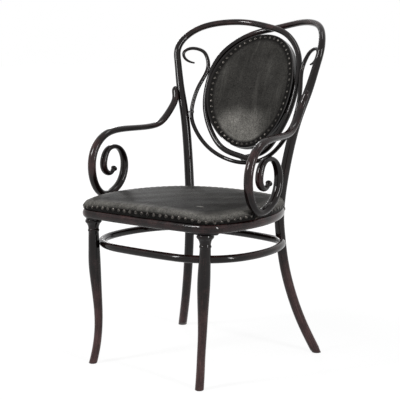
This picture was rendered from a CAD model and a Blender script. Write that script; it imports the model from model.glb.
import math

import bpy
import numpy as np
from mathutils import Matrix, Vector


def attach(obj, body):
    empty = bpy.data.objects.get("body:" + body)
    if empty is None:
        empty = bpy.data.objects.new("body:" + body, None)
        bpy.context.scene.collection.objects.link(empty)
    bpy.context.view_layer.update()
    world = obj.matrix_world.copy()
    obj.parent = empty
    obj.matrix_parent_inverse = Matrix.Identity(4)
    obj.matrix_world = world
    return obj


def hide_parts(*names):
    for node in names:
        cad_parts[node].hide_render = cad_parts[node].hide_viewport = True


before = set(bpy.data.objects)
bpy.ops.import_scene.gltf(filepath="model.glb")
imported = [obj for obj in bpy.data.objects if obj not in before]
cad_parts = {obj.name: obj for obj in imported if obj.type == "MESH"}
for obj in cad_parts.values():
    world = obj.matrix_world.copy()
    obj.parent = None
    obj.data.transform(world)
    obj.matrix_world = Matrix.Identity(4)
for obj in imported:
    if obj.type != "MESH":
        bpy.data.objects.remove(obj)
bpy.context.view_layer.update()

# shapes are in mm, and the frame's origin lies this far behind the one that they are drawn from
middle = 56.95
rng = np.random.default_rng(7)

# the back's rods and board lie on a leaning cylinder, as in CAD
back = dict(radius=390, lean=20.7, baseY=211, baseZ=561, halfWidth=152, halfHeight=178,
            loopSpace=17, hoopRise=11)
lean = math.radians(back["lean"])
sideWay = np.array([1.0, 0, 0])
upBack = np.array([0, math.sin(lean), math.cos(lean)])
behind = np.array([0, math.cos(lean), -math.sin(lean)])
backBase = np.array([0, back["baseY"], back["baseZ"]])

# bent rods: their radii, the gap between two that are screwed together, and room for their bends
rods = dict(post=14.2, hoop=9.2, loop=8.4, scroll=6.2, stretcher=10.5, gap=0.3, slack=0.45)
loopHalfWidth = back["halfWidth"] + rods["gap"] + rods["slack"] + rods["loop"]
loopHalfHeight = back["halfHeight"] + back["loopSpace"] + rods["loop"]
ovalMid = loopHalfHeight
topCrossing = 2 * loopHalfHeight
hoopTop = topCrossing + back["hoopRise"]


def unit(v):
    # each direction divided by its length
    v = np.array(v, float)
    return v / np.linalg.norm(v, axis=-1, keepdims=True)


def fade(x, low, high):
    # three k squared less two k cubed, where k is the share of the way from low to high
    k = np.clip((x - low) / (high - low), 0, 1)
    return k * k * (3 - 2 * k)


def runOf(points):
    # the sum of the steps up to each point of a line
    steps = np.linalg.norm(np.diff(points, axis=0), axis=-1)
    return np.concatenate([[0], np.cumsum(steps)])


def onBack(x, v, off):
    # x across, v up the slope, and off behind the cylinder along its radius
    x, v, off = np.broadcast_arrays(*[np.asarray(q, float) for q in (x, v, off)])
    deep = np.sqrt(back["radius"] ** 2 - x * x)
    radial = (x[..., None] * sideWay + deep[..., None] * behind) / back["radius"]
    flat = x[..., None] * sideWay + v[..., None] * upBack + (deep - back["radius"])[..., None] * behind
    return backBase + flat + off[..., None] * radial


def smoothRows(points, step):
    # natural cubic spline over the square roots of the chords, sampled at even lengths
    p = np.array(points, float)
    chords = np.linalg.norm(np.diff(p[:, :3], axis=0), axis=1)
    t = np.concatenate([[0], np.cumsum(np.sqrt(chords))])
    h = np.diff(t)
    n = len(p)
    a = np.eye(n)
    b = np.zeros_like(p)
    for i in range(1, n - 1):
        a[i, i - 1:i + 2] = h[i - 1], 2 * (h[i - 1] + h[i]), h[i]
        b[i] = 6 * ((p[i + 1] - p[i]) / h[i] - (p[i] - p[i - 1]) / h[i - 1])
    m = np.linalg.solve(a, b)

    def at(s):
        # the cubic of the span that holds s
        i = np.clip(np.searchsorted(t, s, "right") - 1, 0, n - 2)
        u = (s - t[i])[:, None]
        w = (t[i + 1] - s)[:, None]
        g = h[i][:, None]
        line = (p[i + 1] / g - m[i + 1] * g / 6) * u + (p[i] / g - m[i] * g / 6) * w
        return line + m[i + 1] * u ** 3 / (6 * g) + m[i] * w ** 3 / (6 * g)

    samplesPerPoint = 60
    fine = np.linspace(0, t[-1], samplesPerPoint * n)
    total = runOf(at(fine)[:, :3])
    s = np.interp(np.linspace(0, total[-1], int(total[-1] / step) + 2), total, fine)
    return at(s)


def waysOf(rows):
    # the direction from the row before each row to the row after it
    return unit(np.gradient(rows[:, :3], axis=0))


# materials: colours are sRGB codes, and the sizes of their patterns are in mm
def linear(code):
    # sRGB code to linear colour
    c = np.array([int(code[i:i + 2], 16) for i in (1, 3, 5)]) / 255
    return (*np.where(c <= 0.04045, c / 12.92, ((c + 0.055) / 1.055) ** 2.4), 1)


def repeats(*sizes):
    # 1000 divided by each size: how often it goes into a metre
    return tuple(1000 / size for size in sizes)


def node(tree, kind, inputs=None, out=0, **settings):
    # one node with its settings; inputs that are sockets are linked; gives one of its outputs
    made = tree.nodes.new("ShaderNode" + kind)
    for key, value in settings.items():
        setattr(made, key, value)
    for key, value in (inputs or {}).items():
        if isinstance(value, bpy.types.NodeSocket):
            tree.links.new(value, made.inputs[key])
        else:
            made.inputs[key].default_value = value
    return made.outputs[out] if len(made.outputs) else None


def newMaterial(name):
    # an empty node tree; below, MapRange takes 0 the value, 1 and 2 from, 3 and 4 to,
    # and Mix takes 0 the share of the second colour, 6 and 7 the colours
    material = bpy.data.materials.new(name)
    material.use_nodes = True
    material.node_tree.nodes.clear()
    return material, material.node_tree


# steam-bent beech, stained black and polished with shellac: near-black with faint streaks along the rod
# and a thin clear gloss, and reddish bare wood where hands and shoes have rubbed it; streaks and pores
# are drawn coarser than in real beech, so that they show
wood = dict(stain=("#070404", "#150b0a"), bare=("#382326", "#785452"),
            streak=(90.9, 1.111, 1000), pore=(11.11, 0.303, 1000),     # along the rod, round it
            blockStreak=(90.9, 2, 2), blockPore=(11.11, 0.4, 0.4),     # along X, Y and Z
            patch=45.45, speck=5.263, dent=16.67, poreDeep=0.12, dentDeep=0.4, blockWear=0.15)


def woodMaterial(name, onRods):
    # patches, specks, wear and streaks, each times its weight, bare the wood and roughen it
    material, tree = newMaterial(name)
    place = node(tree, "TexCoord", out="Object")
    if onRods:
        grain = node(tree, "UVMap", uv_map="grain")
        wear = node(tree, "Attribute", out="Fac", attribute_name="wear")
        streakSize = wood["streak"]
        poreSize = wood["pore"]
    else:
        grain = place
        wear = wood["blockWear"]
        streakSize = wood["blockStreak"]
        poreSize = wood["blockPore"]
    streaks = node(tree, "VectorMath", {0: grain, 1: repeats(*streakSize)}, operation="MULTIPLY")
    streak = node(tree, "TexNoise", {"Vector": streaks, "Scale": 1, "Detail": 4, "Roughness": 0.55})
    pores = node(tree, "VectorMath", {0: grain, 1: repeats(*poreSize)}, operation="MULTIPLY")
    pore = node(tree, "TexNoise", {"Vector": pores, "Scale": 1, "Detail": 2, "Roughness": 0.55})
    patch = node(tree, "TexNoise", {"Vector": place, "Scale": 1000 / wood["patch"], "Detail": 4,
                                    "Roughness": 0.62})
    speck = node(tree, "TexNoise", {"Vector": place, "Scale": 1000 / wood["speck"], "Detail": 3,
                                    "Roughness": 0.55})
    dent = node(tree, "TexNoise", {"Vector": place, "Scale": 1000 / wood["dent"], "Detail": 2,
                                   "Roughness": 0.55})
    colours = []
    for codes, top in ((wood["stain"], 0.72), (wood["bare"], 0.7)):
        share = node(tree, "MapRange", {0: streak, 1: 0.3, 2: top})
        colours.append(node(tree, "Mix", {0: share, 6: linear(codes[0]), 7: linear(codes[1])}, out=2,
                            data_type="RGBA"))
    rub = 0
    for layer, weight in ((patch, 0.5), (speck, 0.2), (wear, 0.38), (streak, 0.55)):
        rub = node(tree, "Math", {0: layer, 1: weight, 2: rub}, operation="MULTIPLY_ADD")
    rub = node(tree, "MapRange", {0: rub, 1: 0.76, 2: 1.1})
    share = node(tree, "Math", {0: rub, 1: 0.85}, operation="MULTIPLY")
    colour = node(tree, "Mix", {0: share, 6: colours[0], 7: colours[1]}, out=2, data_type="RGBA")
    rough = node(tree, "MapRange", {0: patch, 1: 0.3, 2: 0.7, 3: 0.17, 4: 0.27})
    rough = node(tree, "Math", {0: rub, 1: 0.14, 2: rough}, operation="MULTIPLY_ADD")
    bump = node(tree, "Bump", {"Height": pore, "Distance": wood["poreDeep"] / 1000, "Strength": 0.5})
    bump = node(tree, "Bump", {"Height": dent, "Distance": wood["dentDeep"] / 1000, "Strength": 0.08,
                               "Normal": bump})
    shader = node(tree, "BsdfPrincipled", {
        "Base Color": colour, "Roughness": rough, "Normal": bump,
        "Specular IOR Level": 0.04,      # low, because the white surround shows in it all round
        "Coat Weight": 0.45, "Coat IOR": 1.5, "Coat Roughness": 0.05})
    node(tree, "OutputMaterial", {"Surface": shader})
    return material


# tanned cowhide, dyed charcoal and waxed: a dull sheen on fine pebbled grain and soft creases,
# paler where it has been sat and leaned on; the pebbles are drawn coarser than real ones, so that they show
hide = dict(dye=("#0d0c0c", "#21201f"), pale="#b6b3ac", lined="#a09d97", dusty="#57544f", fresh="#0b0a0a",
            creased="#1b1918", scuffed="#c9c5be", cloud=62.5, fine=2.381, pebble=1.613, crease=10.53,
            line=(13.33, 125, 111.1), pebbleDeep=0.22, creaseDeep=0.4, cloudDeep=6)
# one pale scuff on the seat, 26 by 8 mm: its middle in metres, and its directions over its half lengths
scuff = dict(place=(0.139, -0.228, 0.4715), along=(74.5, 19.3, 0), across=(-63, 242, 0))


def leatherMaterial(name):
    # the dye, then layers that each cover the ones before by their own share
    material, tree = newMaterial(name)
    place = node(tree, "TexCoord", out="Object")
    wear = node(tree, "Attribute", out="Fac", attribute_name="wear")
    cloud = node(tree, "TexNoise", {"Vector": place, "Scale": 1000 / hide["cloud"], "Detail": 5,
                                    "Roughness": 0.6})
    fine = node(tree, "TexNoise", {"Vector": place, "Scale": 1000 / hide["fine"], "Detail": 3,
                                   "Roughness": 0.55})
    pebble = node(tree, "TexVoronoi", {"Vector": place, "Scale": 1000 / hide["pebble"]}, out="Distance",
                  feature="DISTANCE_TO_EDGE")
    pebble = node(tree, "MapRange", {0: pebble, 1: 0, 2: 0.25})
    crease = node(tree, "TexVoronoi", {"Vector": place, "Scale": 1000 / hide["crease"]}, out="Distance",
                  feature="DISTANCE_TO_EDGE")
    crease = node(tree, "MapRange", {0: crease, 1: 0, 2: 0.09})
    # rubbed pale where it is worn
    pale = wear
    for share in ({0: cloud, 1: 0.22, 2: 0.66, 3: 0.35, 4: 1}, {0: fine, 1: 0.35, 2: 0.62, 3: 0.3, 4: 1}):
        pale = node(tree, "Math", {0: pale, 1: node(tree, "MapRange", share)}, operation="MULTIPLY")
    # rubbed lines up the back
    lines = node(tree, "VectorMath", {0: place, 1: repeats(*hide["line"])}, operation="MULTIPLY")
    lines = node(tree, "TexNoise", {"Vector": lines, "Scale": 1, "Detail": 4, "Roughness": 0.6})
    lines = node(tree, "MapRange", {0: lines, 1: 0.52, 2: 0.78})
    worn = node(tree, "MapRange", {0: wear, 1: 0.05, 2: 0.6, 3: 0.1, 4: 0.5})
    lines = node(tree, "Math", {0: lines, 1: worn}, operation="MULTIPLY")
    dusty = node(tree, "MapRange", {0: fine, 1: 0.42, 2: 0.68, 3: 0, 4: 0.22})
    fresh = node(tree, "MapRange", {0: wear, 1: 0, 2: 0.09, 3: 0.6, 4: 0})
    creased = node(tree, "MapRange", {0: crease, 1: 0, 2: 1, 3: 0.4, 4: 0})
    # the scuff's share falls with the squared distance from its middle
    off = node(tree, "VectorMath", {0: place, 1: scuff["place"]}, operation="SUBTRACT")
    apart = 0
    for way in (scuff["along"], scuff["across"]):
        part = node(tree, "VectorMath", {0: off, 1: way}, out="Value", operation="DOT_PRODUCT")
        apart = node(tree, "Math", {0: part, 1: part, 2: apart}, operation="MULTIPLY_ADD")
    scuffed = node(tree, "MapRange", {0: apart, 1: 0.3, 2: 1, 3: 0.75, 4: 0})
    scuffed = node(tree, "Math", {0: scuffed, 1: fine}, operation="MULTIPLY")
    dyed = node(tree, "MapRange", {0: cloud, 1: 0.3, 2: 0.72})
    colour = linear(hide["dye"][0])
    for share, code in ((dyed, hide["dye"][1]), (pale, hide["pale"]), (lines, hide["lined"]),
                        (dusty, hide["dusty"]), (fresh, hide["fresh"]), (creased, hide["creased"]),
                        (scuffed, hide["scuffed"])):
        colour = node(tree, "Mix", {0: share, 6: colour, 7: linear(code)}, out=2, data_type="RGBA")
    rough = node(tree, "MapRange", {0: fine, 1: 0.25, 2: 0.75, 3: 0.42, 4: 0.64})
    bump = node(tree, "Bump", {"Height": pebble, "Distance": hide["pebbleDeep"] / 1000, "Strength": 0.6})
    bump = node(tree, "Bump", {"Height": crease, "Distance": hide["creaseDeep"] / 1000, "Strength": 0.45,
                               "Normal": bump})
    bump = node(tree, "Bump", {"Height": cloud, "Distance": hide["cloudDeep"] / 1000, "Strength": 0.35,
                               "Normal": bump})
    shader = node(tree, "BsdfPrincipled", {
        "Base Color": colour, "Roughness": rough, "Normal": bump,
        "Specular IOR Level": 0.04})     # low, as on the wood
    node(tree, "OutputMaterial", {"Surface": shader})
    return material


# pressed steel nail heads and cut steel screws, browned with age: dull dark metal with brighter spots
metal = dict(cloud=7.692, nail=("#191715", "#57534f"), nailRough=0.24, screw=("#332f2c", "#6a645d"),
             screwRough=0.4, dull=0.12)


def metalMaterial(name, codes, rough):
    # clouds turn the tone from dark to light, and the finish from dull to clean
    material, tree = newMaterial(name)
    place = node(tree, "TexCoord", out="Object")
    cloud = node(tree, "TexNoise", {"Vector": place, "Scale": 1000 / metal["cloud"], "Detail": 3,
                                    "Roughness": 0.55})
    share = node(tree, "MapRange", {0: cloud, 1: 0.35, 2: 0.68})
    tone = node(tree, "Mix", {0: share, 6: linear(codes[0]), 7: linear(codes[1])}, out=2, data_type="RGBA")
    finish = node(tree, "MapRange", {0: cloud, 1: 0.3, 2: 0.7, 3: rough + metal["dull"], 4: rough})
    shader = node(tree, "BsdfPrincipled", {"Base Color": tone, "Metallic": 0.85, "Roughness": finish})
    node(tree, "OutputMaterial", {"Surface": shader})
    return material


# webbing woven of jute yarn 2 mm thick: tan and matte, with darker gaps between the yarns
webbing = dict(tones=("#716348", "#8f7d5d"), yarn=2)


def juteMaterial(name):
    # noise as fine as the yarn turns the tone from dark to light
    material, tree = newMaterial(name)
    place = node(tree, "TexCoord", out="Object")
    yarn = node(tree, "TexNoise", {"Vector": place, "Scale": 1000 / webbing["yarn"], "Detail": 2,
                                   "Roughness": 0.55})
    tones = [linear(code) for code in webbing["tones"]]
    tone = node(tree, "Mix", {0: yarn, 6: tones[0], 7: tones[1]}, out=2, data_type="RGBA")
    shader = node(tree, "BsdfPrincipled", {"Base Color": tone, "Roughness": 0.9})
    node(tree, "OutputMaterial", {"Surface": shader})
    return material


rodWood = woodMaterial("ebonised beech", True)
blockWood = woodMaterial("ebonised beech blocks", False)
leather = leatherMaterial("charcoal leather")
nailMetal = metalMaterial("browned steel nails", metal["nail"], metal["nailRough"])
steel = metalMaterial("darkened steel", metal["screw"], metal["screwRough"])
jute = juteMaterial("jute webbing")
print("materials made")


# meshes
def smoothMesh(name, points, faces, material):
    # points in mm, moved to the frame's origin and divided by 1000
    mesh = bpy.data.meshes.new(name)
    mesh.from_pydata(((points - (0, middle, 0)) / 1000).tolist(), [], faces)
    mesh.polygons.foreach_set("use_smooth", [True] * len(faces))
    mesh.materials.append(material)
    return mesh


def placePiece(name, mesh, nodes):
    # every piece rides on the chair's one body and stands for the CAD nodes it is given
    piece = bpy.data.objects.new(name, mesh)
    bpy.context.scene.collection.objects.link(piece)
    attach(piece, "root")
    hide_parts(*nodes)
    return piece


def bandQuads(rows, columns, looped=False):
    # four corners for each face between two rows: columns run round, and rows too when looped
    bands = rows if looped else rows - 1
    here = np.arange(bands)[:, None] * columns
    there = (np.arange(1, bands + 1) % rows)[:, None] * columns
    left = np.arange(columns)[None, :]
    right = (left + 1) % columns
    return np.stack([here + left, here + right, there + right, there + left], -1).reshape(-1, 4)


def fan(ring, tip):
    # a triangle from each side of a ring of points to a tip
    return np.stack([ring, np.roll(ring, -1, -1), np.broadcast_to(tip, ring.shape)], -1)


def gridPiece(name, grid, material, nodes, wear, uv=None, looped=False):
    # faces between rows of points; a fan to their mean closes the first row and the last unless looped
    n, m, _ = grid.shape
    points = grid.reshape(-1, 3)
    faces = bandQuads(n, m, looped).tolist()
    if not looped:
        points = np.vstack([points, grid[0].mean(0), grid[-1].mean(0)])
        faces += fan(np.arange(m), n * m)[:, ::-1].tolist()
        faces += fan(np.arange(m) + (n - 1) * m, n * m + 1).tolist()
    mesh = smoothMesh(name, points, faces, material)
    if uv is not None:
        spots = np.stack(np.broadcast_arrays(*uv), -1)
        corners = [spots[:-1, :-1], spots[:-1, 1:], spots[1:, 1:], spots[1:, :-1]]
        flat = np.stack(corners, 2).reshape(-1, 2)
        spare = np.zeros((len(mesh.loops) - len(flat), 2))
        layer = mesh.uv_layers.new(name="grain")
        layer.data.foreach_set("uv", np.vstack([flat, spare]).ravel())
    worn = np.zeros(len(points))
    worn[:n * m] = np.clip(np.broadcast_to(wear, (n, m)), 0, 1).reshape(-1)
    mesh.attributes.new("wear", "FLOAT", "POINT").data.foreach_set("value", worn)
    return placePiece(name, mesh, nodes)


def rodGrid(rows, sides, flat=False, level=0):
    # round each row, the radius times the cosine to one side and the thickness times the sine to the
    # other; a round rod's first side is carried along without twist, and a flat one's stays across
    startWay = (0.31, 0.87, 0.38)
    ways = waysOf(rows)
    ways[:level] = (0, 0, 1)
    side = np.cross(ways[0], startWay)
    across = []
    for way in ways:
        side = sideWay if flat else side
        side = unit(side - side @ way * way)
        across.append(side)
    across = np.array(across)
    other = np.cross(ways, across)
    ring = np.linspace(0, 2 * math.pi, sides, endpoint=False)
    wide = rows[:, 3:4] * np.cos(ring)
    thick = rows[:, 4:5] if flat else rows[:, 3:4]
    high = thick * np.sin(ring)
    return rows[:, None, :3] + wide[..., None] * across[:, None] + high[..., None] * other[:, None]


def rounded(rows, first=True, last=True):
    # two more rows at an end, a share of the easing further on, with a share of its size
    easing = 2.0
    shares = ((0.6, 0.9), (1.0, 0.62))
    rows = np.array(rows)
    ways = waysOf(rows)
    for wanted, end, sign in ((first, 0, -1), (last, -1, 1)):
        if not wanted:
            continue
        extra = []
        for run, size in shares:
            spot = rows[end, :3] + sign * run * easing * ways[end]
            extra.append(np.concatenate([spot, rows[end, 3:] * size]))
        rows = np.vstack([extra[::-1], rows]) if end == 0 else np.vstack([rows, extra])
    return rows


def rodPiece(name, rows, sides, nodes, wear, flat=False, level=0):
    # the grain's map is the length along the rod by its mean radius times the angle round it
    grid = rodGrid(rows, sides, flat, level)
    length = runOf(rows[:, :3])
    around = np.linspace(0, 2 * math.pi, sides + 1) * rows[:, 3].mean()
    uv = (length[:, None] / 1000, around[None, :] / 1000)
    gridPiece(name, grid, rodWood, nodes, wear(grid), uv)


# domed nails: radii, height over radius, how far they are askew, and their outline over radius and height
nails = dict(seat=5.2, back=4.6, rise=0.5, askew=0.12, sides=16, apart=3,
             outline=((1, -0.5), (1.02, 0), (0.98, 0.2), (0.87, 0.52), (0.66, 0.8), (0.36, 0.96)))


def domePiece(name, spots, ways, radius, nodes):
    # the outline turned about each nail's own direction, with a point at the top and one below
    startWay = (0.2, 0.3, 0.93)
    outline = np.array(nails["outline"])
    sides = nails["sides"]
    ways = unit(ways + rng.normal(0, nails["askew"], ways.shape))
    side = unit(np.cross(ways, startWay))
    other = np.cross(ways, side)
    around = np.linspace(0, 2 * math.pi, sides, endpoint=False)[:, None]
    spokes = np.cos(around) * side[:, None] + np.sin(around) * other[:, None]
    rise = nails["rise"] * radius * ways
    wide = radius * outline[:, 0, None, None] * spokes[:, None]
    high = outline[:, 1, None, None] * rise[:, None, None]
    rows = spots[:, None, None] + wide + high
    tips = np.stack([spots + rise, spots + outline[0, 1] * rise], 1)
    points = np.concatenate([rows.reshape(len(spots), -1, 3), tips], 1)
    size = points.shape[1]
    starts = np.arange(len(spots))[:, None] * size
    quads = starts[..., None] + bandQuads(len(outline), sides)
    lower = starts + np.arange(sides)
    top = fan(lower + (len(outline) - 1) * sides, starts + size - 2)
    below = fan(lower, starts + size - 1)[..., ::-1]
    faces = quads.reshape(-1, 4).tolist() + top.reshape(-1, 3).tolist() + below.reshape(-1, 3).tolist()
    mesh = smoothMesh(name, points.reshape(-1, 3), faces, nailMetal)
    placePiece(name, mesh, nodes)


# rear posts: sabre leg, upright, hoop and loop in one bent rod
post = dict(footX=252, footY=240, waistX=165, waistY=169, waistZ=410, taper=0.7, seatRise=25, hoopHalf=255,
            legZ=(0, 90, 180, 270, 350), lowRoom=0.3, tailLift=1.8, sides=32, step=6,
            # share of the half width, share of the height, share of the crossing's lift, radius
            hoop=((0.78, 0.205, 0, 13.4), (0.902, 0.44, 0, 12.3), (0.982, 0.625, 0, 10.9),
                  (1.01, 0.71, 0, 10.4), (0.984, 0.80, 0, 9.8), (0.825, 0.926, 0.2, 9.2),
                  (0.50, 0.998, 0.55, 9.2), (0.24, 0.9985, 1, 9.2)),
            shoulder=(0.45, 0.985, 0.75, 8.8),
            # degrees round the loop, share of the lower crossing's lift, share of the loop's size
            loop=((31, 0.1, 1.02), (5, 0, 1), (-20, 0, 1), (-45, -0.1, 1), (-66, -0.55, 1)))


def legSpot(z):
    # from the waist towards the foot by the square of the share of the way down
    flare = (1 - z / post["waistZ"]) ** 2
    x = post["waistX"] + (post["footX"] - post["waistX"]) * flare
    y = post["waistY"] + (post["footY"] - post["waistY"]) * flare
    return x, y, flare


def postRows(side, inFront, tail, dip):
    # leg, waist, hoop to the upper crossing, loop round the oval to the lower crossing, and tail
    rows = []
    for z in post["legZ"]:
        x, y, flare = legSpot(z)
        rows.append((side * x, y, z, rods["post"] - post["taper"] * flare))
    rows.append((side * post["waistX"], post["waistY"], post["waistZ"] + post["seatRise"], rods["post"]))
    lift = -1 if inFront else 1
    cross = rods["hoop"] + rods["gap"] / 2
    lowCross = rods["loop"] + rods["gap"] / 2 + post["lowRoom"]
    for fx, fv, k, r in post["hoop"]:
        rows.append((*onBack(side * fx * post["hoopHalf"], fv * hoopTop, lift * k * cross), r))
    rows.append((*onBack(0, topCrossing, lift * cross), rods["hoop"]))
    fx, fv, k, r = post["shoulder"]
    rise = fv * math.sqrt(1 - fx ** 2) * loopHalfHeight
    rows.append((*onBack(-side * fx * loopHalfWidth, ovalMid + rise, lift * k * cross), r))
    for angle, k, far in post["loop"]:
        t = math.radians(angle)
        x = -side * far * loopHalfWidth * math.cos(t)
        v = ovalMid + far * loopHalfHeight * math.sin(t)
        rows.append((*onBack(x, v, lift * k * lowCross), rods["loop"]))
    rows.append((*onBack(0, 0, -lift * lowCross), rods["loop"]))
    rows.append((*onBack(side * tail, -dip, -lift * (lowCross + post["tailLift"])), rods["loop"]))
    return smoothRows(rows, post["step"])


def postWear(amount):
    # towards the foot by the amount given, and at its tip and on top of the hoop
    def wear(grid):
        z = grid[..., 2]
        low = fade(z, 420, 120) * amount + fade(z, 60, 0) * 0.3
        return low + fade(z, 880, 965) * 0.35 + 0.12
    return wear


rightRows = postRows(1, False, 42, 10)
leftRows = postRows(-1, True, 6, 0.6)
rodPiece("right_post_rod", rounded(rightRows, first=False), post["sides"], ["right_rear_post"],
         postWear(0.85), level=2)
rodPiece("left_post_rod", rounded(leftRows, first=False), post["sides"], ["left_rear_post"],
         postWear(0.4), level=2)
print("posts made")

# scroll under the oval
scroll = dict(lowRoom=1, lowOff=6, loopAngle=16.5, loopRoom=1.6, postShare=0.29, bulge=(4.5, 5),
              curlRise=28, curlGap=11, curlSide=0.76, curlFlat=0.78, sides=24, step=3.5, wear=0.15,
              # share of the way to the post across and up, off behind the cylinder
              under=((0.47, 0.125, 3.5), (0.765, 0.39, 0), (0.945, 0.72, 0)),
              # degrees round the curl, share of its size, share of the radius
              curl=((150, 1, 0.9), (115, 1, 0.84), (75, 1, 0.8), (35, 1, 0.78), (0, 1, 0.76),
                    (-36, 1, 0.68), (-66, 0.99, 0.56), (-92, 0.96, 0.42)))


def postAt(v):
    # the row of the right post above the back's base that lies nearest to v up the slope
    half = rightRows[:len(rightRows) // 2]
    high = (half[:, :3] - backBase) @ upBack
    far = np.where(half[:, 2] > back["baseZ"], np.abs(high - v), np.inf)
    k = int(np.argmin(far))
    return half[k, 0], high[k], half[k, 3], waysOf(rightRows)[k]


def scrollRows():
    # from the middle under the loops out to the post, in to the loop, and up and over into the curl
    r = rods["scroll"]
    low = -(rods["loop"] + r + rods["gap"]) - scroll["lowRoom"]
    t = math.radians(scroll["loopAngle"])
    out = unit([math.cos(t) / loopHalfWidth, math.sin(t) / loopHalfHeight])
    onLoop = np.array([loopHalfWidth * math.cos(t), ovalMid + loopHalfHeight * math.sin(t)])
    loopTouch = onLoop + (rods["loop"] + r + rods["gap"] + rods["slack"] + scroll["loopRoom"]) * out
    px, pv, pr, way = postAt(scroll["postShare"] * hoopTop)
    lie = unit([way[0], way @ upBack])
    postTouch = np.array([px, pv]) + (pr + r + rods["gap"] + rods["slack"]) * np.array([-lie[1], lie[0]])
    curlV = loopTouch[1] + scroll["curlRise"]
    cx, _, cr, _ = postAt(curlV)
    right = cx - cr - scroll["curlSide"] * r - rods["gap"]
    left = loopTouch[0] + scroll["curlGap"]
    curlX = (left + right) / 2
    curlR = (right - left) / 2
    half = [(fx * postTouch[0], low + fv * (postTouch[1] - low), off, r) for fx, fv, off in scroll["under"]]
    half.append((*postTouch, 0, r))
    between = 0.5 * (postTouch + loopTouch) + scroll["bulge"]
    half.append((*between, 0, r))
    half.append((*loopTouch, 0, r))
    for angle, k, thin in scroll["curl"]:
        a = math.radians(angle)
        x = curlX + k * curlR * math.cos(a)
        v = curlV + scroll["curlFlat"] * k * curlR * math.sin(a)
        half.append((x, v, 0, thin * r))
    plan = [(-x, v, off, q) for x, v, off, q in reversed(half)] + [(0, low, scroll["lowOff"], r)] + half
    return smoothRows([(*onBack(x, v, off), q) for x, v, off, q in plan], scroll["step"])


rodPiece("scroll_rod", rounded(scrollRows()), scroll["sides"], ["back_scroll"], lambda g: scroll["wear"])
print("scroll made")


# outlines from arcs, as in CAD
def arcChain(front, arcs, off, posts, step):
    # arcs of (radius, degrees) that run on without a corner from the front middle to the rear middle;
    # one without a radius touches the next post, and a last one closes on the axis
    spot = np.array([0.0, -front - off])
    turn = 0.0
    posts = list(posts)
    line = []
    for radius, angle in (*arcs, (None, None)):
        left = np.array([-math.sin(turn), math.cos(turn)])
        if angle is None:
            radius = spot[0] / math.sin(turn)
            angle = math.degrees(math.pi - turn)
        elif radius is None:
            leg, clear = posts.pop(0)
            q = np.array(leg) - spot
            c = clear - off
            radius = (q @ q - c * c) / (2 * (q @ left + c))
        else:
            radius = radius + off
        mid = spot + radius * left
        count = max(3, int(radius * math.radians(angle) / step))
        turns = turn + math.radians(angle) * np.arange(count + 1) / count
        way = np.column_stack([np.sin(turns), -np.cos(turns)])
        line.append(np.hstack([mid + radius * way, way])[:-1])
        turn += math.radians(angle)
        spot = mid + radius * way[-1]
    line.append(np.concatenate([spot, way[-1]])[None])
    return np.vstack(line)


def wholeOutline(half):
    # the half from the front middle, then its mirror back to the front; gives the run along each half
    other = half[-2:0:-1] * (-1, 1, -1, 1)
    run = runOf(half[:, :2])
    return np.vstack([half, other]), np.concatenate([run, run[-2:0:-1]]), run[-1]


def sweptGrid(line, profile):
    # each point of a closed profile goes its own distance outwards from the outline, at its own height
    out, high = profile.T
    x = line[:, 0:1] + out * line[:, 2:3]
    y = line[:, 1:2] + out * line[:, 3:4]
    way = runOf(np.vstack([profile, profile[:1]]))
    return np.stack([x, y, np.broadcast_to(high, x.shape)], -1), way


# seat: outline, wooden frame with a half-round rail, and leather
seat = dict(front=256, arcs=((2200, 5), (52, 65), (400, 48), (None, 54)), postReach=11, step=4,
            low=415, high=450, width=46, ease=2, railIn=4, railOut=8.5, railHalf=12.2, neck=4.5, lip=2,
            lipEase=1, frameWear=0.5, leatherOff=1.7, leatherEdge=440, edgeLip=0.5, top=478.5, crown=12.5,
            cornerDrop=9, edgeRound=14, sideLeast=4, webTop=454.4, frameTop=450.6,
            nailZ=451.5, nailPitch=20.5, nailSunk=0.5, nailTilt=0.12, armY=-92,
            # how far the leather is drawn in at a nail, swells between two, and has settled
            tuck=0.9, tuckHigh=5, sideSwell=0.9, edgeSwell=1.1, topSwell=0.7, swellFade=0.05,
            settled=1.5, settledY=-20, settledWide=120, settledDeep=110,
            # wear all over, in the middle, at the rear and on the rounded edge
            wear=0.02, middleWear=0.05, rearWear=0.25, edgeWear=0.6)
seatPosts = [((post["waistX"], post["waistY"]), seat["postReach"])]


def seatLine(off):
    # the seat's outline, moved outwards
    return wholeOutline(arcChain(seat["front"], seat["arcs"], off, seatPosts, seat["step"]))


# seat frame: a bar bent round, with a half-round lower part that stands proud of the leather
outline, _, _ = seatLine(0)
turns = np.radians(np.linspace(-90, 90, 17))
inner = [(-seat["width"], seat["high"]), (-seat["width"], seat["low"] + seat["ease"]),
         (-seat["width"] + seat["ease"], seat["low"])]
rail = np.column_stack([-seat["railIn"] + seat["railOut"] * np.cos(turns),
                        seat["low"] + seat["railHalf"] * (1 + np.sin(turns))])
upper = [(-seat["neck"], seat["leatherEdge"]), (-seat["lip"], seat["high"] - seat["lipEase"]),
         (-seat["lip"] - seat["lipEase"], seat["high"])]
grid, way = sweptGrid(outline, np.vstack([inner, rail, upper])[::-1])
frameUv = (np.arange(len(grid) + 1)[:, None] * seat["step"] / 1000, way[None, :] / 1000)
gridPiece("seat_ring", grid, rodWood, ["seat_frame"], seat["frameWear"], frameUv,
          looped=True)

# seat leather: drawn down over the edge, crowned, gathered between the nails
outline, run, halfRun = seatLine(seat["leatherOff"])
nailCount = round(halfRun / seat["nailPitch"])
wave = 0.5 - 0.5 * np.cos(2 * math.pi * run / halfRun * nailCount)   # 1 at each nail, 0 between
centre = np.array([0.0, (outline[:, 1].min() + outline[:, 1].max()) / 2])
sideReach = np.abs(outline[:, 0]).max()


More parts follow.
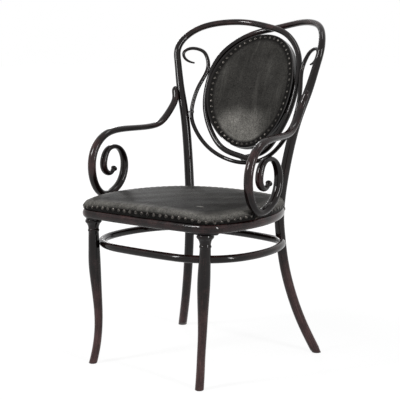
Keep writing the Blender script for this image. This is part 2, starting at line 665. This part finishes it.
def domeAt(xy):
    # the crowned top, a paraboloid over the seat's middle that falls further at the corners
    q = ((xy - centre) ** 2).sum(-1) / sideReach ** 2
    return seat["top"] - seat["crown"] * q - seat["cornerDrop"] * np.clip(q - 1, 0, None)


def edgeAt(off):
    # the outline, moved outwards by a distance for each row and point
    return outline[:, :2] + np.broadcast_to(off, (len(off), len(outline)))[..., None] * outline[:, 2:]


def raised(xy, z):
    # rows of points in plan with their heights
    return np.concatenate([xy, np.broadcast_to(z, xy.shape[:2])[..., None]], -1)


def seatUneven(x, y):
    # crossed waves 0.9 mm high, and slanting ones 0.5 mm high
    crossed = np.sin(x / 31 + 1.3 * np.sin(y / 47)) * np.sin(y / 39 + 0.6)
    return 0.9 * crossed + 0.5 * np.sin(x / 17 - y / 23)


easing = np.minimum(seat["edgeRound"], domeAt(outline[:, :2]) - seat["leatherEdge"] - seat["sideLeast"])
edgeZ = domeAt(outline[:, :2]) - easing
nailLine = np.minimum(seat["nailZ"], edgeZ)
# from the underside on the webbing, over the frame's top and out under the leather's edge
start = seat["leatherEdge"] + seat["edgeLip"]
under = np.array([(seat["webTop"], -60), (seat["webTop"], -16), (seat["frameTop"], -14.5),
                  (seat["frameTop"], -3), (seat["leatherEdge"], -1.5), (seat["leatherEdge"], -0.3),
                  (start, 0)])
underside = raised(edgeAt(under[:, 1:]), under[:, :1])
# up the side, drawn in at each nail and swelling between
f = np.linspace(0.12, 0.97, 8)[:, None]
z = start + f * (edgeZ - start)
near = np.exp(-((z - nailLine) / seat["tuckHigh"]) ** 2)
upSide = raised(edgeAt(-seat["tuck"] * near * wave + seat["sideSwell"] * f * (1 - wave)), z)
# over the rounded edge
a = np.radians(np.linspace(6, 90, 10))[:, None]
edgeXy = edgeAt(-easing * (1 - np.cos(a)) + seat["edgeSwell"] * (1 - wave) * np.cos(a))
swell = seat["topSwell"] * (1 - wave)
edge = raised(edgeXy, domeAt(edgeXy) - easing * (1 - np.sin(a)) + swell * np.sin(a))
# across the top to its middle: gathers that die away, unevenness, and a place settled by sitting
k = np.linspace(0.015, 0.985, 48)[:, None]
topXy = centre + (edgeXy[-1] - centre) * (1 - k)[..., None]
x, y = np.moveaxis(topXy, -1, 0)
gather = swell * np.exp(-k / seat["swellFade"])
sat = (x / seat["settledWide"]) ** 2 + ((y - seat["settledY"]) / seat["settledDeep"]) ** 2
settled = seat["settled"] * np.exp(-sat)
top = raised(topXy, domeAt(topXy) + gather + seatUneven(x, y) * fade(k, 0.03, 0.2) - settled)
grid = np.concatenate([underside, upSide, edge, top])
# worn a little in the middle, more at the rear and most along the rounded edge
x, y = grid[..., 0], grid[..., 1]
sideRows = len(underside) + len(upSide)
edgeFade = 6
rubbed = np.concatenate([np.zeros(sideRows), np.sin(np.linspace(0.2, 2.5, len(edge))),
                         np.linspace(0.5, 0, edgeFade), np.zeros(len(top) - edgeFade)])
seatWear = seat["wear"] + seat["middleWear"] * np.exp(-((x / 190) ** 2 + ((y + 10) / 150) ** 2))
seatWear = seatWear + seat["rearWear"] * fade(y, 100, 170) + seat["edgeWear"] * rubbed[:, None]
seatWear = seatWear * (np.arange(len(grid)) >= sideRows)[:, None]
cushion = gridPiece("seat_cushion", grid, leather, ["seat_leather", "seat_padding"], seatWear)

# seat nails at even steps, left out where a post or an arm covers them
half = len(outline) // 2 + 1
s = (np.arange(nailCount) + 0.5) / nailCount * halfRun
x, y, nx, ny = [np.interp(s, run[:half], outline[:half, c]) for c in range(4)]
z = np.interp(s, run[:half], nailLine[:half])
clear = nails["seat"] + nails["apart"]
byPost = np.hypot(x - post["waistX"], y - post["waistY"]) < rods["post"] + clear
byArm = np.abs(y - seat["armY"]) < clear
free = ~(byPost | byArm)
spots = np.column_stack([x - seat["nailSunk"] * nx, y - seat["nailSunk"] * ny, z])[free]
ways = np.column_stack([nx, ny, np.full(nailCount, seat["nailTilt"])])[free]
mirror = np.array([(1, 1, 1), (-1, 1, 1)])
domePiece("seat_domes", (spots[:, None] * mirror).reshape(-1, 3), (ways[:, None] * mirror).reshape(-1, 3),
          nails["seat"], ["seat_nails"])
print("seat made")

# stretcher ring inside the legs
ring = dict(front=236, z=340, arcs=((1400, 4), (None, 72), (300, 40), (None, 50)), sides=24, step=6)
# front legs: height, offsets and radius of the bent shaft, then height and radius of the turned head
leg = dict(x=197, y=-224, top=411, neck=14.7, capital=23.3, bead=16.3, headHigh=39, footEase=1.2, sides=36,
           step=5, bend=((0, -6, -17, 11.8), (40, -10, -7.5, 11.45), (90, -12.5, -0.5, 11.3),
                         (140, -11.5, 2.5, 11.98), (190, -9, 1.5, 13.56), (240, -6, -0.5, 15.82),
                         (285, -3.5, -1.5, 17.2), (325, -2, -1, 16.34), (352, -0.8, -0.4, 15.44),
                         (372, 0, 0, 14.7)))
bend = np.array(leg["bend"])
dx, dy, legRadius = [np.interp(ring["z"], bend[:, 0], bend[:, c]) for c in (1, 2, 3)]
clear = rods["stretcher"] + rods["gap"]
ringPosts = [((leg["x"] + dx, leg["y"] + dy), legRadius + clear),
             (legSpot(ring["z"])[:2], rods["post"] + clear)]
line, _, _ = wholeOutline(arcChain(ring["front"], ring["arcs"], 0, ringPosts, ring["step"]))
around = np.linspace(0, 2 * math.pi, ring["sides"], endpoint=False)
circle = np.column_stack([np.cos(around), -np.sin(around)]) * rods["stretcher"]
grid, way = sweptGrid(line, circle + (0, ring["z"]))
ringUv = (np.arange(len(grid) + 1)[:, None] * ring["step"] / 1000, way[None, :] / 1000)
gridPiece("stretcher_rod", grid, rodWood, ["stretcher_ring"],
          0.2 + 0.3 * fade(grid[..., 2], 342, 350), ringUv, looped=True)


def legRows(side):
    # the bent shaft, then a bead, a neck and a capital turned on it
    shaft = smoothRows([(side * (leg["x"] + dx), leg["y"] + dy, z, r) for z, dx, dy, r in leg["bend"]],
                       leg["step"])
    base = leg["top"] - leg["headHigh"]
    k, b, c = leg["neck"], leg["bead"], leg["capital"]
    turned = [(4, k), (4.6, k + 0.9), (6, b - 0.2), (7.5, b), (9, b - 0.2), (10.4, k + 0.9), (11, k),
              (16, k + 0.4), (21, k + 1.6), (25, k + 3.4), (28, c - 3), (29.5, c - 1.2), (31.5, c - 0.2),
              (33, c), (35, c - 0.4), (37.5, c - 1.5), (39, c - 1.8)]
    head = [(side * leg["x"], leg["y"], base + z, r) for z, r in turned]
    foot = [(*shaft[0][:3], shaft[0][3] - leg["footEase"])]
    shaft[0][2] = leg["footEase"]
    return np.vstack([foot, shaft[:-1], head])


def legWear(grid):
    # more towards the foot, and more again at its tip
    z = grid[..., 2]
    return 0.2 + 0.8 * fade(z, 330, 60) + 0.3 * fade(z, 60, 0)


for side, name in ((1, "right"), (-1, "left")):
    rows = legRows(side)
    rodPiece(f"{name}_leg_turned", rows, leg["sides"], [f"{name}_front_leg"], legWear, level=len(rows))
print("legs and ring made")

# arms: the rest's points go by shares towards the front, the curl's lie in a plane beside the seat
arm = dict(wide=13, thick=10.4, tipZ=756, restZ=650, frontY=-145, lowY=seat["armY"], lowZ=459,
           lieOn=(0.4, -0.916, 0), seatSpan=12, seatStep=1.5, leather=1.6, skin=0.1, bulb=0.92, sides=28,
           step=4,
           # height from the tip, share of the width, share of the thickness
           tip=((7, 0.45, 0.4), (0, 0.72, 0.66), (-24, 0.85, 0.8)),
           rest=((0.02, 0.075, 45, 0.93, 0.8), (0.12, 0.185, 12, 0.98, 0.82), (0.28, 0.29, 0, 1, 0.82),
                 (0.54, 0.45, -3, 1, 0.83), (0.80, 0.64, -4, 1, 0.88), (0.95, 0.82, -15, 1, 0.95)),
           curl=((-37, 141, 1, 1), (-53, 97, 1, 1), (-48, 49, 1, 1), (-27, 14, 1, 1), (0, 0, 1, 1),
                 (33, 6, 1, 1), (67, 30, 1, 1), (85, 70, 1, 1), (81, 107, 0.94, 0.86),
                 (62, 131, 0.86, 0.7), (37, 137, 0.82, 0.66), (13, 129, 0.85, 0.76),
                 (-2, 104, 0.88, 0.92), (-3, 78, 0.85, 0.92), (10, 63, 0.74, 0.8), (26, 61, 0.6, 0.62),
                 (37, 69, 0.52, 0.58)),
           knob=((1.0, 0.84), (2.5, 0.94), (4.5, 1), (6.5, 0.98), (8.3, 0.88), (9.8, 0.72), (11, 0.5),
                 (11.6, 0.28)))
seatHalf = arcChain(seat["front"], seat["arcs"], 0, seatPosts, arm["seatStep"])
beside = np.abs(seatHalf[:, 1] - arm["lowY"]) < arm["seatSpan"]
armX = seatHalf[beside, 0].max() + arm["skin"] + arm["leather"] + rods["gap"] + arm["wide"]


def armRows():
    # down along the post, forward over the rest, round the curl, and out into a knob
    half = rightRows[:len(rightRows) // 2]
    lieOn = unit(arm["lieOn"])
    rows = []
    for dz, w, t in arm["tip"]:
        z = arm["tipZ"] + dz
        x, y, r = [np.interp(z, half[:, 2], half[:, c]) for c in (0, 1, 3)]
        reach = math.hypot(w * arm["wide"] * lieOn[0], t * arm["thick"] * lieOn[1])
        apart = r + reach + rods["gap"] + 2 * rods["slack"]
        rows.append((*(np.array([x, y, z]) + apart * lieOn), w * arm["wide"], t * arm["thick"]))
    x, y = rows[-1][:2]
    for fx, fy, dz, w, t in arm["rest"]:
        rows.append((x + fx * (armX - x), y + fy * (arm["frontY"] - y), arm["restZ"] + dz,
                     w * arm["wide"], t * arm["thick"]))
    for dy, dz, w, t in arm["curl"]:
        rows.append((armX, arm["lowY"] + dy, arm["lowZ"] + dz, w * arm["wide"], t * arm["thick"]))
    rows = smoothRows(rows, arm["step"])
    way = waysOf(rows)[-1]
    bulb = arm["bulb"] * arm["thick"]
    knob = [(*(rows[-1][:3] + run * way), k * bulb, k * bulb) for run, k in arm["knob"]]
    return np.vstack([rows, knob])


def armWear(grid):
    # more on the front of the curl and on top of the rest
    y, z = grid[..., 1], grid[..., 2]
    return 0.1 + 0.5 * fade(y, -60, -130) * fade(z, 470, 560) + 0.25 * fade(z, 640, 655)


rightArm = armRows()
for side, name in ((1, "right"), (-1, "left")):
    rows = rounded(rightArm * (side, 1, 1, 1, 1), last=False)
    rodPiece(f"{name}_arm_rod", rows, arm["sides"], [f"{name}_arm"], armWear, flat=True)
print("arms made")

# oval back: leather on both faces, gathered at the front nails
oval = dict(rim=4, nailRow=10, nailPitch=18, nailSunk=0.6, nailFrom=20, crown=16, crownEdge=20, boardFront=13,
            boardBack=9, bedding=0.35, skin=0.1, leather=1.6, rearLeather=2.0, rearPuff=0.8, rearWear=0.15,
            points=420, inner=(147, 110, 75, 40, 12), tuck=0.5, tuckWide=3.5, roll=1.1, rollIn=8,
            rollWide=6, wear=0.14,
            # distance in from the board's edge, and off behind the cylinder, round the edge to the front
            wrap=((1.5, -12.5), (0.3, 1.5), (-0.2, 0.5), (-0.2, -4), (0, -8), (0.6, -11.5), (1.7, -13.6),
                  (3.2, -14.6)))
wholeTurn = np.linspace(0, 2 * math.pi, oval["points"] + 1)
angles = wholeTurn[:-1]
nailWide = back["halfWidth"] - oval["nailRow"]
nailHigh = back["halfHeight"] - oval["nailRow"]
ovalRun = runOf(np.column_stack([nailWide * np.cos(wholeTurn), nailHigh * np.sin(wholeTurn)]))
backNails = round(ovalRun[-1] / oval["nailPitch"])
wave = 0.5 - 0.5 * np.cos(2 * math.pi * ovalRun[:-1] / ovalRun[-1] * backNails)
front = -oval["boardFront"] - oval["bedding"] - oval["leather"]


def ovalRings(less):
    # the rim's oval times one share, so that its half width is less by the distance given
    wide = back["halfWidth"] - oval["rim"]
    share = 1 - (less - oval["rim"]) / wide
    x = wide * share * np.cos(angles)
    v = ovalMid + (back["halfHeight"] - oval["rim"]) * share * np.sin(angles)
    return x, v


def padUneven(x, v):
    # crossed waves 0.7 mm high, and slanting ones 0.4 mm high
    crossed = np.sin(x / 27 + np.sin(v / 41)) * np.sin(v / 33)
    return 0.7 * crossed + 0.4 * np.sin(x / 13 + v / 19)


# an underside on the board, then the leather comes round its edge and turns onto the front
underside = [(less, -oval["boardFront"] - oval["skin"]) for less in oval["inner"]]
less, off = np.array([*underside, *oval["wrap"]]).T[..., None]
x = (back["halfWidth"] - less) * np.cos(angles)
v = ovalMid + (back["halfHeight"] - less) * np.sin(angles)
edge = onBack(x, v, off)
# across the front: a crown, a tuck at each nail, a roll inside the row of nails, and unevenness
depths = np.concatenate([np.linspace(oval["rim"] + 1.8, 34, 22), np.linspace(37, oval["inner"][0], 34)])
less = depths[:, None]
x, v = ovalRings(less)
q = (x / (back["halfWidth"] - oval["crownEdge"])) ** 2
q = q + ((v - ovalMid) / (back["halfHeight"] - oval["crownEdge"])) ** 2
puff = oval["crown"] * np.clip(1 - q * q, 0, None) ** 2
inwards = less - oval["nailRow"]
tuck = oval["tuck"] * np.exp(-(inwards / oval["tuckWide"]) ** 2) * wave
roll = oval["roll"] * np.exp(-((inwards - oval["rollIn"]) / oval["rollWide"]) ** 2) * (1 - 0.6 * wave)
face = onBack(x, v, front - puff + tuck - roll - padUneven(x, v) * fade(less, 20, 60))
grid = np.concatenate([edge, face])
# worn pale in the lower middle, inside the nails
inside = fade(np.concatenate([np.zeros(len(edge)), depths]), 12, 24)[:, None]
leaned = fade(grid[..., 2], 722, 650) * fade(np.abs(grid[..., 0] + 15), 105, 40)
padWear = (oval["wear"] + leaned) * inside
backPad = gridPiece("back_cushion", grid, leather, ["back_leather", "back_padding"], padWear)

# back nails at even steps, pointing straight out of the cylinder
t = np.interp((np.arange(backNails) + 0.5) / backNails * ovalRun[-1], ovalRun, wholeTurn)
x = nailWide * np.cos(t)
v = ovalMid + nailHigh * np.sin(t)
spots = onBack(x, v, front + oval["nailSunk"])
domePiece("back_domes", spots, unit(spots - onBack(x, v, oval["nailFrom"])), nails["back"], ["back_nails"])

# rear leather: an underside on the board, a turned edge, and a flat face that is a little puffed
rings = [(less, oval["skin"]) for less in (*oval["inner"], oval["rim"])]
rings += [(oval["rim"], 1.2), (oval["rim"] + 0.8, 1.7), (oval["rim"] + 3, oval["rearLeather"])]
flat = np.linspace(10, oval["inner"][0], 30)
rings += list(zip(flat, oval["rearLeather"] + oval["rearPuff"] * fade(flat, 8, 60)))
less, lift = np.array(rings).T[..., None]
grid = onBack(*ovalRings(less), oval["boardBack"] + lift)[:, ::-1]
gridPiece("rear_leather", grid, leather, ["back_rear_cover"], oval["rearWear"])
print("back made")

# CAD pieces that show as they are
kept = {"right_corner_block": blockWood, "left_corner_block": blockWood, "back_board": blockWood,
        "seat_webbing": jute}
for name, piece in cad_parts.items():
    material = kept.get(name)
    if name.endswith(("screws", "bolts", "nuts", "washers")):
        material = steel
    if material:
        piece.data.materials.clear()
        piece.data.materials.append(material)

# floor and light, in metres and watts
stageSet = dict(floorHalf=30, floorLit="#a6a6a6", floorSeen="#6f6f6f", glowFrom=0.5, glowTo=2.0,
                glowLeast=0.9, sky="#eef1f5", skyStrength=0.08, white="#ffffff")
lamps = dict(key=dict(place=(-1.2, -2.6, 2.3), aim=(0, 0, 0.5), width=0.5, height=1.1, watts=62),
             side=dict(place=(2.6, -0.5, 1.4), aim=(0, 0, 0.6), width=0.3, height=1.5, watts=40),
             top=dict(place=(0.2, 0.4, 3.0), aim=(0, 0, 0.4), width=1.2, height=0.4, watts=9),
             rear=dict(place=(-2.2, 1.8, 1.8), aim=(0, 0, 0.6), width=0.3, height=1.4, watts=12))


def surroundRays(tree):
    # 1 for the rays that see the white surround: the greatest of camera, glossy and transmission
    seen = 0
    for kind in ("Camera", "Glossy", "Transmission"):
        ray = node(tree, "LightPath", out=f"Is {kind} Ray")
        seen = node(tree, "Math", {0: seen, 1: ray}, operation="MAXIMUM")
    return seen


def floorMaterial(name):
    # matte paper that glows white for the rays that see it, and a little less near the chair
    material, tree = newMaterial(name)
    seen = surroundRays(tree)
    tones = [linear(stageSet[key]) for key in ("floorLit", "floorSeen")]
    tone = node(tree, "Mix", {0: seen, 6: tones[0], 7: tones[1]}, out=2, data_type="RGBA")
    place = node(tree, "TexCoord", out="Object")
    away = node(tree, "VectorMath", {0: place}, out="Value", operation="LENGTH")
    glow = node(tree, "MapRange", {0: away, 1: stageSet["glowFrom"], 2: stageSet["glowTo"],
                                   3: stageSet["glowLeast"], 4: 1})
    glow = node(tree, "Math", {0: seen, 1: glow}, operation="MULTIPLY")
    shader = node(tree, "BsdfPrincipled", {
        "Base Color": tone, "Roughness": 0.9, "Specular IOR Level": 0.1,
        "Emission Color": linear(stageSet["white"]), "Emission Strength": glow})
    node(tree, "OutputMaterial", {"Surface": shader})
    return material


def softbox(name, place, aim, width, height, watts):
    # a rectangular lamp turned from its place to its aim
    lamp = bpy.data.lights.new(name, "AREA")
    lamp.shape = "RECTANGLE"
    lamp.size = width
    lamp.size_y = height
    lamp.energy = watts
    made = bpy.data.objects.new(name, lamp)
    made.location = place
    made.rotation_euler = (Vector(aim) - Vector(place)).to_track_quat("-Z", "Y").to_euler()
    bpy.context.scene.collection.objects.link(made)


far = stageSet["floorHalf"]
mesh = bpy.data.meshes.new("floor")
mesh.from_pydata([(-far, -far, 0), (far, -far, 0), (far, far, 0), (-far, far, 0)], [], [(0, 1, 2, 3)])
mesh.materials.append(floorMaterial("white floor"))
floor = bpy.data.objects.new("floor", mesh)
bpy.context.scene.collection.objects.link(floor)
for name, lamp in lamps.items():
    softbox(name, **lamp)

world = bpy.data.worlds.new("studio")
bpy.context.scene.world = world
world.use_nodes = True
tree = world.node_tree
tree.nodes.clear()
shown = node(tree, "Background", {"Color": linear(stageSet["white"]), "Strength": 1})
lit = node(tree, "Background", {"Color": linear(stageSet["sky"]), "Strength": stageSet["skyStrength"]})
blend = node(tree, "MixShader", {0: surroundRays(tree), 1: lit, 2: shown})
node(tree, "OutputWorld", {"Surface": blend})

# camera fitted to the photograph, in metres and mm
view = dict(place=(1.801, -2.3667, 0.8936), aim=(0, -0.05702, 0.45), sensor=36, lens=93.9,
            shiftX=0.004, shiftY=0.0051)
lens = bpy.data.cameras.new("camera")
lens.sensor_width = view["sensor"]
lens.lens = view["lens"]
lens.shift_x = view["shiftX"]
lens.shift_y = view["shiftY"]
camera = bpy.data.objects.new("camera", lens)
camera.location = view["place"]
aim = Vector(view["aim"]) - camera.location
camera.rotation_euler = aim.to_track_quat("-Z", "Y").to_euler()
bpy.context.scene.collection.objects.link(camera)
bpy.context.scene.camera = camera
bpy.context.scene.view_settings.view_transform = "Standard"
print("stage made")
